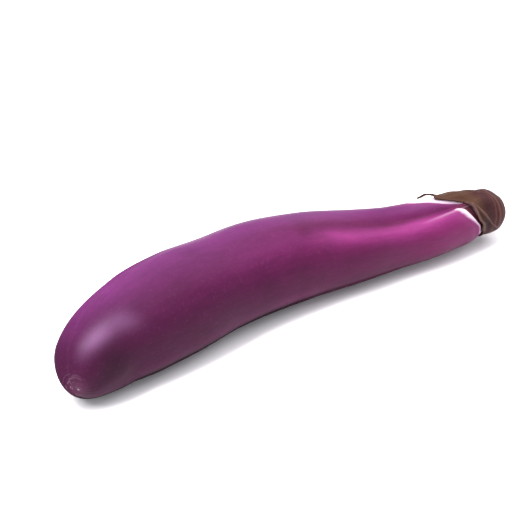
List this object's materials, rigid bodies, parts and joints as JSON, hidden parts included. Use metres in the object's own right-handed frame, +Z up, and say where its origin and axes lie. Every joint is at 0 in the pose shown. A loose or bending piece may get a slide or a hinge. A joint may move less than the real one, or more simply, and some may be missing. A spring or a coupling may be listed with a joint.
{
  "type": "eggplant",
  "caption": "Long slim purple eggplant lying on its side, with a bowed belly, a grooved neck, a brown leathery calyx and a short hooked stalk.",
  "frame": {"origin": "middle of the footprint of the lying eggplant, on the ground it lies on", "axes": "+X from the blossom end to the stalk end, +Z up, -Y the side with the short worn calyx lobes"},
  "size_m": [0.2766, 0.0542, 0.0477],
  "materials": {
    "skin": "glossy",
    "calyx": "matte",
    "stalk": "matte"
  },
  "bodies": {
    "root": {"fruit": "skin", "calyx": "calyx", "stalk": "stalk"}
  },
  "joints": []
}
